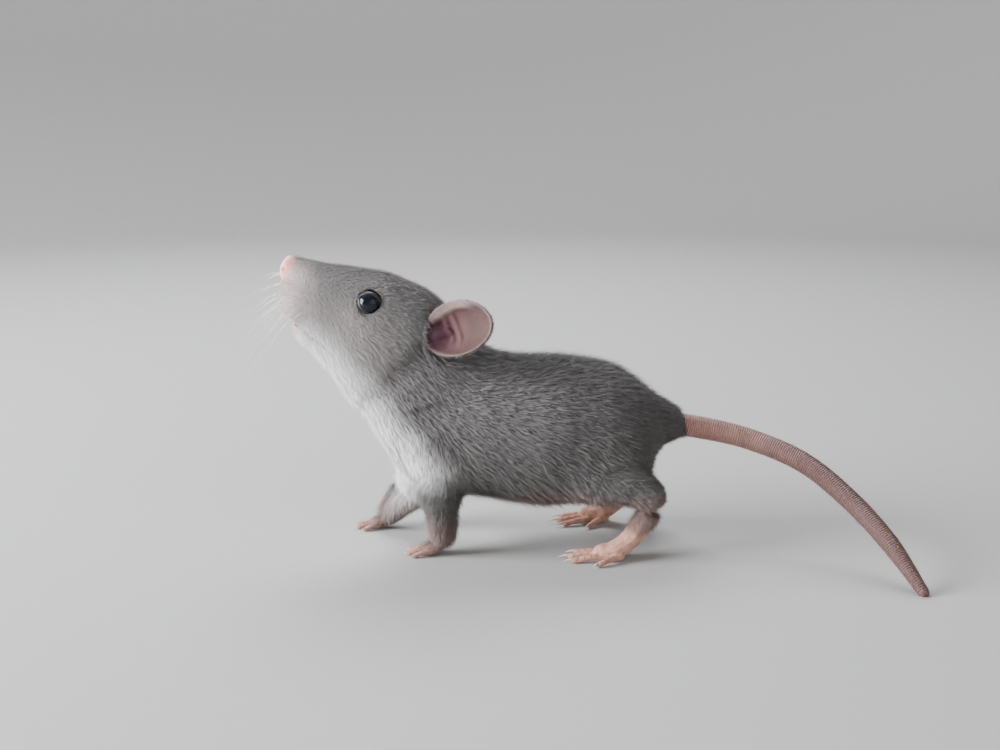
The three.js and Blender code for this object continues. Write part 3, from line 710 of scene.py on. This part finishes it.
def plainHair(name, colour, roughness):
    finish = Finish(name, roughness)
    where, x, y, z = finish.place()
    shade = finish.ramp(finish.noise(where, 0.8, 2.0), 0.3, 0.7)
    finish.set("Base Color", finish.mix(shade, tuple(c * 0.82 for c in colour), colour))
    return finish.material


footHair = plainHair("footHair", feet["hair"], 0.6)
for part in ("hind_foot", "forepaw"):
    facts = feet[part]
    material = footFinish(part)
    for side in ("left", "right"):
        shape = Surface([f"{part}_{side}"], facts["voxel"], 0.0, 3)
        heel = smoothStep(facts["roundFrom"], facts["roundFrom"] + 2.5, shape.points[:, 2])[:, None]
        shape.points = shape.points * (1 - heel) + shape.relaxed(shape.points, 120) * heel
        shape.normals = normalsOf(shape.points, shape.faces)
        claw, crease = np.zeros(len(shape.points)), np.zeros(len(shape.points))
        for toe in facts["toes"]:
            along, beside = alongToe(part, side, toe, shape.points)
            end = 0.93 * toe[2] + 0.8 * facts["thick"]
            claw = np.maximum(claw, smoothStep(end, end + 0.25, along) * (beside < 0.9))
            # creases across each toe, painted darker as shade and pressed in by the bump
            joints = np.cos(along / toe[2] * 6 * math.pi) ** 8 * smoothStep(0.2, 0.35, along / toe[2])
            crease = np.maximum(crease, joints * (beside < 1.0) * (along < end) * (shape.normals[:, 2] > 0))
        piece = meshFrom(f"{part}Skin_{side}", shape.points, shape.faces)
        keep(piece, claw=claw, crease=crease)
        piece.data.materials.append(material)
        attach(piece, "root")
        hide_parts(f"{part}_{side}")
        high = smoothStep(facts["hairAbove"] - 3, facts["hairAbove"] + 1, shape.points[:, 2])
        down = np.tile((0.15, 0, -1.0), (len(high), 1))
        long = np.full(len(high), feet["hairLength"])
        *hairs, ground = grow(shape, high * feet["hairsOnEach"], claw, long, down, feet["hairWide"])
        middle = hairs[0].mean(0)
        turnRound = np.arctan2(hairs[0][:, 1] - middle[1], hairs[0][:, 0] - middle[0]) / (2 * math.pi)
        height = hairs[0][:, 2] / hairs[0][:, 2].max()
        uv = np.stack([0.5 + turnRound * 0.98, 0.01 + height * 0.98], 1)
        weave(f"{part}Hair_{side}", hairs, uv, footHair)
print("feet made")

earShape = {
    "voxel": 0.2, "rounds": 4, "ridges": (3.4, 5.5), "ridgeHeight": 0.34, "ridgeWide": 0.6,
    "foldAt": 0.84, "foldWide": 0.1, "foldHeight": 0.45,  # the rolled edge along the top and front
    "inside": (0.092, 0.050, 0.047), "outer": (0.075, 0.043, 0.040), "rim": (0.27, 0.20, 0.18),
    # canal: painted shade in the mouth of the ear canal
    "canal": (0.06, 0.022, 0.032), "valley": (0.16, 0.065, 0.07), "down": (0.22, 0.19, 0.18),
    "downLength": 0.6, "downWide": 0.12,
}


def earFinish():
    finish = Finish("earSkin", 0.75, Specular_IOR_Level=0.2)
    where, x, y, z = finish.place()
    blotches = finish.ramp(finish.noise(where, 0.55, 3.0), 0.3, 0.7)
    inside = finish.mix(blotches, earShape["inside"], earShape["outer"])
    colour = finish.mix(finish.attribute("valley") * 0.6, inside, earShape["valley"])
    colour = finish.mix(finish.attribute("rim"), colour, earShape["rim"])
    finish.set("Base Color", finish.mix(finish.attribute("canal"), colour, earShape["canal"]))
    finish.bump(finish.noise(where, 3.0, 4.0), 0.12)
    finish.shader.inputs["Subsurface Weight"].default_value = 0.2
    finish.shader.inputs["Subsurface Radius"].default_value = (0.002, 0.0007, 0.0005)
    return finish.material


earMaterial, downMaterial = earFinish(), plainHair("earDown", earShape["down"], 0.6)
for side in ("left", "right"):
    shape = Surface([f"ear_{side}"], earShape["voxel"], 0.0, earShape["rounds"])
    local = ratToEar(shape.points, side)
    centre = ears["long"] / 2 - ears["buried"]
    out = np.hypot((local[:, 0] - centre) / (ears["long"] / 2), local[:, 2] / (ears["high"] / 2))
    _, turn, sign = earFrame(side)
    localNormals = (ratToHead(shape.points + shape.normals) - ratToHead(shape.points)) @ turn * (1, -sign, 1)
    facing = smoothStep(0.1, 0.6, -localNormals[:, 1])  # 1 on the skin inside the cup
    fromCanal = np.hypot(local[:, 0] - ears["canal"][0], (local[:, 2] - ears["canal"][2]) * 0.85)
    fan = np.arctan2(local[:, 2], local[:, 0])
    wobble = np.sin(fan * 2 + 1) * 0.8 + np.sin(fan * 5 + 0.4) * 0.25
    ridge = sum(np.exp(-((fromCanal + wobble - r) / earShape["ridgeWide"]) ** 2) for r in earShape["ridges"])
    fade = facing * (1 - smoothStep(0.62, 0.85, out)) * smoothStep(-4.5, -1.0, local[:, 2])
    around = np.arctan2(local[:, 2], local[:, 0] - centre)
    topAndFront = smoothStep(math.radians(35), math.radians(75), around)
    fold = np.exp(-((out - earShape["foldAt"]) / earShape["foldWide"]) ** 2) * topAndFront * facing
    lift = ridge * fade * earShape["ridgeHeight"] + fold * earShape["foldHeight"]
    shape.points = shape.points + shape.normals * lift[:, None]
    shape.normals = normalsOf(shape.points, shape.faces)
    piece = meshFrom(f"earSkin_{side}", shape.points, shape.faces)
    # painted shade: the cup is coloured dark round the mouth of the canal
    deep = facing * (1 - smoothStep(2.0, 4.2, fromCanal))
    pale = smoothStep(0.86, 1.0, out) * 0.7 + smoothStep(0.68, 0.84, out) * topAndFront
    valley = fade * (1 - np.minimum(ridge, 1)) * (1 - smoothStep(5, 8, fromCanal))
    keep(piece, rim=pale, canal=deep, valley=valley)
    piece.data.materials.append(earMaterial)
    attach(piece, "root")
    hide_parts(f"ear_{side}")
    outwards = np.stack([local[:, 0] - centre, np.zeros(len(local)), local[:, 2]], 1) * (1, -sign, 1) @ turn.T
    c, s = math.cos(rat["headPitch"]), math.sin(rat["headPitch"])
    tailwards = outwards[:, 0] * c + outwards[:, 2] * s
    upwards = outwards[:, 2] * c - outwards[:, 0] * s
    flowOut = np.stack([tailwards, outwards[:, 1], upwards], 1)
    *down, ground = grow(shape, np.full(len(local), 20.0), facing * (1 - 0.35 * smoothStep(0.8, 0.95, out)),
                         np.full(len(local), earShape["downLength"]), flowOut, earShape["downWide"])
    place = ratToEar(down[0], side)
    uv = 0.5 + np.stack([(place[:, 0] - centre) / ears["long"], place[:, 2] / ears["high"]], 1) * 0.45
    uv[:, 0] = uv[:, 0] / 2 + np.where(facing[shape.faces[ground, 0]] > 0.5, 0, 0.5)
    weave(f"earDown_{side}", down, uv, downMaterial)
print("ears made")

tail = {
    "path": ((38.5, 0, 27), (46, 0, 25.7), (54.3, -2, 24.1), (65.7, -8, 20.3),
             (74.2, -17, 14.4), (80.6, -27, 7.8), (85.4, -35.5, 0.6)),
    "root": (0.60, 0.31, 0.26), "mauve": (0.115, 0.055, 0.049), "ring": 0.5, "ringDeep": 0.13,
    "betweenRings": (0.16, 0.07, 0.062), "hairsOnEach": 3.5,
    "hair": (0.26, 0.20, 0.18), "hairLength": 0.8, "hairWide": 0.09,
}
tailNodes = ["tail_base", "tail_middle", "tail_tip"]
tailShape = Surface(tailNodes, 0.2, rat["jointWidth"] / 2 + 0.03, 6)
knots = np.array(tail["path"], float)
spans = np.concatenate([[0], np.cumsum(np.linalg.norm(np.diff(knots, axis=0), axis=1))])
steps = np.linspace(0, spans[-1], 400)
centreLine = np.stack([np.interp(steps, spans, knots[:, i]) for i in range(3)], 1)
nearest = kdtree.KDTree(len(centreLine))
for i, p in enumerate(centreLine):
    nearest.insert(p, i)
nearest.balance()
at = np.array([nearest.find(p)[1] for p in tailShape.points])
alongTail = tailShape.relaxed(steps[at], 6)
tailFlow = np.gradient(centreLine, axis=0)[at]
tailPiece = meshFrom("tailSkin", tailShape.points, tailShape.faces)
layer = tailPiece.data.attributes.new("alongTail", "FLOAT", "POINT")
layer.data.foreach_set("value", alongTail.astype(np.float32))
tailFinish = Finish("tailSkin", 0.55)
where, x, y, z = tailFinish.place()
run = tailFinish.attribute("alongTail")
rings = (run * (2 * math.pi / tail["ring"])).maths("SINE", run * (2 * math.pi / tail["ring"])) * 0.5 + 0.5
fromRoot = tailFinish.ramp(run + tailFinish.noise(where, 0.3) * 20, 4, 48)
colour = tailFinish.mix(fromRoot, tail["root"], tail["mauve"])
colour = tailFinish.mix((1 - rings) * 0.35, colour, tail["betweenRings"])
tailFinish.set("Base Color", colour)
tailFinish.bump(rings + tailFinish.noise(where, 4.0, 3.0) * 0.5, tail["ringDeep"])
tailFinish.shader.inputs["Subsurface Weight"].default_value = 0.12
tailFinish.shader.inputs["Subsurface Radius"].default_value = (0.0015, 0.0006, 0.0004)
tailPiece.data.materials.append(tailFinish.material)
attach(tailPiece, "root")
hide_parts(*tailNodes)
onFloor = (tailShape.points[:, 2] < 0.5).astype(float)
*hairs, ground = grow(tailShape, np.full(len(at), tail["hairsOnEach"]), onFloor,
                      np.full(len(at), tail["hairLength"]), tailFlow, tail["hairWide"])
share = alongTail[tailShape.faces[ground, 0]] / spans[-1]
beside = hairs[0] - centreLine[at[tailShape.faces[ground, 0]]]
uv = np.stack([0.01 + share * 0.98, 0.5 + np.arctan2(beside[:, 1], beside[:, 2]) / (2 * math.pi) * 0.98], 1)
weave("tailHair", hairs, uv, plainHair("tailHair", tail["hair"], 0.6))
print("bare parts made")

# Eyes

eyeball = {"rings": 40, "around": 56, "colour": (0.004, 0.005, 0.008), "sheen": (0.008, 0.012, 0.022)}


def ball(name, centre, radius):
    rings, around = eyeball["rings"], eyeball["around"]
    polar = np.linspace(0, math.pi, rings + 1)[1:-1]
    turn = np.linspace(0, 2 * math.pi, around, endpoint=False)
    points = np.stack([np.outer(np.sin(polar), np.cos(turn)), np.outer(np.sin(polar), np.sin(turn)),
                       np.outer(np.cos(polar), np.ones(around))], 2).reshape(-1, 3)
    points = np.concatenate([points, [(0, 0, 1), (0, 0, -1)]])
    faces = []
    for j in range(around):
        k = (j + 1) % around
        faces += [(len(points) - 2, j, k, k)]
        for i in range(rings - 2):
            low, high = i * around, (i + 1) * around
            faces.append((low + j, high + j, high + k, low + k))
        faces += [((rings - 2) * around + j, len(points) - 1, len(points) - 1, (rings - 2) * around + k)]
    triangles = []
    for f in faces:
        a, b, c, d = f
        if a != b and b != c:
            triangles.append((a, b, c))
        if c != d and d != a:
            triangles.append((a, c, d))
    return meshFrom(name, centre + points * radius, np.array(triangles))


eyeFinish = Finish("eyeWet", 0.07)
where, x, y, z = eyeFinish.place()
# painted reflection: a faint bluish sheen in patches on the black eye
sheenPatches = eyeFinish.ramp(eyeFinish.noise(where, 0.6), 0.3, 0.7)
eyeFinish.set("Base Color", eyeFinish.mix(sheenPatches, eyeball["colour"], eyeball["sheen"]))
eyeFinish.shader.inputs["IOR"].default_value = 1.37

lids = {"across": 48, "taller": 6, "tallAt": 17, "corner": 11, "cornerAt": 17, "cornerWide": 18, "around": 72,
        "edge": (0.02, 0.017, 0.018), "fur": (0.14, 0.128, 0.125), "outward": 80, "backward": 9,
        # millimetres off the eye, and degrees back from the opening
        "profile": ((-0.1, 0), (0.06, 0), (0.15, 3), (0.2, 7), (0.2, 13), (0.12, 20), (-0.05, 30)),
        "darkness": (1, 1, 1, 0.95, 0.8, 0.6, 0.5)}


def lidShell(name, side):
    # a lid that hugs the eye and leaves an opening that draws out to the corner by the nose
    out, back = math.radians(lids["outward"]), math.radians(lids["backward"])
    look = np.array((math.sin(back), side * math.sin(out) * math.cos(back), math.cos(out) * math.cos(back)))
    forward = np.array((0, side * math.sin(out) * math.sin(back), math.cos(out) * math.sin(back)))
    forward[0] = -math.cos(back)
    up = np.array((0, -side * math.cos(out), math.sin(out)))
    phi = np.arange(lids["around"]) / lids["around"] * 360
    bend = np.cos(np.radians(2 * (phi - lids["tallAt"])))
    fromCorner = (phi - lids["cornerAt"] + 180) % 360 - 180
    drawnOut = lids["corner"] * np.exp(-(fromCorner / lids["cornerWide"]) ** 2)
    opening = lids["across"] + lids["taller"] * bend + drawnOut
    turn = np.radians(phi)
    beside = forward * np.cos(turn)[:, None] + up * np.sin(turn)[:, None]
    rings = []
    for off, more in lids["profile"]:
        theta = np.radians(opening + more)[:, None]
        ring = look * np.cos(theta) + beside * np.sin(theta)
        rings.append(ring * (rat["eyeRadius"] + off))
    points = np.concatenate(rings) + np.array(rat["eyeInHead"]) * (1, side, 1)
    points = np.array([headToRat(*p) for p in points])
    i = np.arange(lids["around"])
    j = (i + 1) % lids["around"]
    order = (i, j) if side > 0 else (j, i)
    faces = []
    for k in range(len(lids["profile"]) - 1):
        low, high = k * lids["around"], (k + 1) * lids["around"]
        faces.append(np.stack([low + order[0], low + order[1], high + order[1], high + order[0]], 1))
    piece = meshFrom(name, points, np.concatenate(faces))
    keep(piece, edge=np.repeat(lids["darkness"], lids["around"]))
    return piece


lidFinish = Finish("lidSkin", 0.45)
where, x, y, z = lidFinish.place()
lidColour = lidFinish.mix(lidFinish.ramp(lidFinish.noise(where, 1.5), 0.3, 0.7), coat["lid"], lids["fur"])
lidFinish.set("Base Color", lidFinish.mix(lidFinish.attribute("edge"), lidColour, lids["edge"]))
for name, side in (("left", -1), ("right", 1)):
    ex, ey, ez = rat["eyeInHead"]
    piece = ball(f"eyeball_{name}", headToRat(ex, side * ey, ez), rat["eyeRadius"])
    piece.data.materials.append(eyeFinish.material)
    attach(piece, "root")
    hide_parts(f"eye_{name}")
    lidPiece = lidShell(f"lid_{name}", side)
    lidPiece.data.materials.append(lidFinish.material)
    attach(lidPiece, "root")
print("eyes made")

# Whiskers

whisker = {"rows": 4, "inRow": 5, "length": 17, "thick": 0.085,
           "colour": (0.95, 0.94, 0.92), "sides": 5, "steps": 11}


def tube(paths, radii):
    # many thin round hairs in one mesh
    count, steps = paths.shape[:2]
    ahead = np.gradient(paths, axis=1)
    ahead /= np.linalg.norm(ahead, axis=2, keepdims=True)
    across = np.cross(ahead, (0.1, 0.2, 1.0))
    across /= np.linalg.norm(across, axis=2, keepdims=True)
    over = np.cross(ahead, across)
    turn = np.arange(whisker["sides"]) / whisker["sides"] * 2 * math.pi
    c, s = np.cos(turn)[None, None, :, None], np.sin(turn)[None, None, :, None]
    ring = across[:, :, None] * c + over[:, :, None] * s
    points = paths[:, :, None] + ring * radii[:, :, None, None]
    sides = whisker["sides"]
    i = np.arange(sides)
    j = (i + 1) % sides
    bands = []
    for k in range(steps - 1):
        low, high = k * sides, (k + 1) * sides
        bands.append(np.stack([low + i, low + j, high + j, high + i], 1))
    one = np.concatenate(bands)
    faces = (one[None] + (np.arange(count) * steps * sides)[:, None, None]).reshape(-1, 4)
    return points.reshape(-1, 3), faces


paths, radii = [], []
for side in (-1, 1):
    for row in range(whisker["rows"]):
        for column in range(whisker["inRow"]):
            startX, startY = -26.6 + 1.15 * column + 0.3 * row, side * (3.3 + 0.28 * column)
            start = np.array([startX, startY, -0.6 - 1.4 * row])
            reach = whisker["length"] * (0.55 + 0.13 * column) * rng.uniform(0.85, 1.1)
            aim = np.array([-1.0 + 0.08 * column, side * (0.62 + 0.08 * column), 0.1 - 0.28 * row])
            aim = aim / np.linalg.norm(aim)
            t = np.linspace(0, 1, whisker["steps"])[:, None]
            bend = np.array([0.25, 0, -0.75]) * reach * rng.uniform(0.4, 0.7)
            path = start + aim * reach * t + bend * t**2 + rng.normal(0, 0.25, 3) * t**2
            paths.append(np.array([headToRat(*p) for p in path]))
            radii.append(whisker["thick"] * (1 - 0.85 * t[:, 0]))
points, faces = tube(np.array(paths), np.array(radii))
whiskers = meshFrom("whiskers", points, faces)
whiskers.data.materials.append(plainHair("whiskerHair", whisker["colour"], 0.35))
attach(whiskers, "root")

# Floor, light and camera

stage = {"floor": (0.44, 0.435, 0.425), "flat": 620, "curve": 320, "wall": 500, "around": 96}
profile = [(0.0, 0.0), (stage["flat"] * 0.5, 0.0), (stage["flat"], 0.0)]
for turn in np.linspace(0, math.pi / 2, 14)[1:]:
    profile.append((stage["flat"] + stage["curve"] * math.sin(turn), stage["curve"] * (1 - math.cos(turn))))
profile.append((stage["flat"] + stage["curve"], stage["curve"] + stage["wall"]))
turns = np.arange(stage["around"]) / stage["around"] * 2 * math.pi
points = np.array([(r * math.cos(t), r * math.sin(t), z) for r, z in profile for t in turns]) - ratOrigin
ring = np.arange(stage["around"])
after = (ring + 1) % stage["around"]
faces = []
for k in range(len(profile) - 1):
    low, high = k * stage["around"], (k + 1) * stage["around"]
    faces.append(np.stack([low + ring, high + ring, high + after, low + after], 1))
floor = meshFrom("floor", points, np.concatenate(faces))
floorFinish = Finish("paleFloor", 0.8)
floorFinish.shader.inputs["Base Color"].default_value = (*stage["floor"], 1)
floor.data.materials.append(floorFinish.material)


def lamp(name, place, aim, size, power, colour):
    data = bpy.data.lights.new(name, "AREA")
    data.shape, data.size, data.size_y = "RECTANGLE", size, size
    data.energy, data.color = power, colour
    made = bpy.data.objects.new(name, data)
    made.location = Vector(place)
    made.rotation_euler = (Vector(aim) - Vector(place)).to_track_quat("-Z", "Y").to_euler()
    bpy.context.scene.collection.objects.link(made)


lamp("window", (-0.66, -0.14, 0.24), (-0.02, 0, 0.03), 0.42, 17.0, (0.95, 0.97, 1.0))
lamp("rim", (-0.10, 0.38, 0.50), (0, 0, 0.04), 0.30, 4.2, (0.95, 0.97, 1.0))
lamp("fill", (0.45, -0.50, 0.30), (0, 0, 0.03), 0.60, 1.2, (1.0, 0.97, 0.93))
world = bpy.data.worlds.new("room")
world.use_nodes = True
world.node_tree.nodes["Background"].inputs[0].default_value = (0.86, 0.88, 0.92, 1)
world.node_tree.nodes["Background"].inputs[1].default_value = 0.34
bpy.context.scene.world = world

view = {"elevation": math.radians(12), "away": 320, "aimHeight": 37.9, "pixelsPerUnit": 1454}
camera = bpy.data.cameras.new("camera")
camera.sensor_width = 36
camera.lens = view["pixelsPerUnit"] / 1000 * 36
camera.clip_start = 0.01
cameraObject = bpy.data.objects.new("camera", camera)
outwards = -view["away"] * math.cos(view["elevation"])
upwards = view["aimHeight"] + view["away"] * math.sin(view["elevation"])
offset = np.array([0, outwards, upwards])
cameraObject.location = (offset + ratOrigin) * mm
cameraObject.rotation_euler = (math.pi / 2 - view["elevation"], 0, 0)
bpy.context.scene.collection.objects.link(cameraObject)
bpy.context.scene.camera = cameraObject
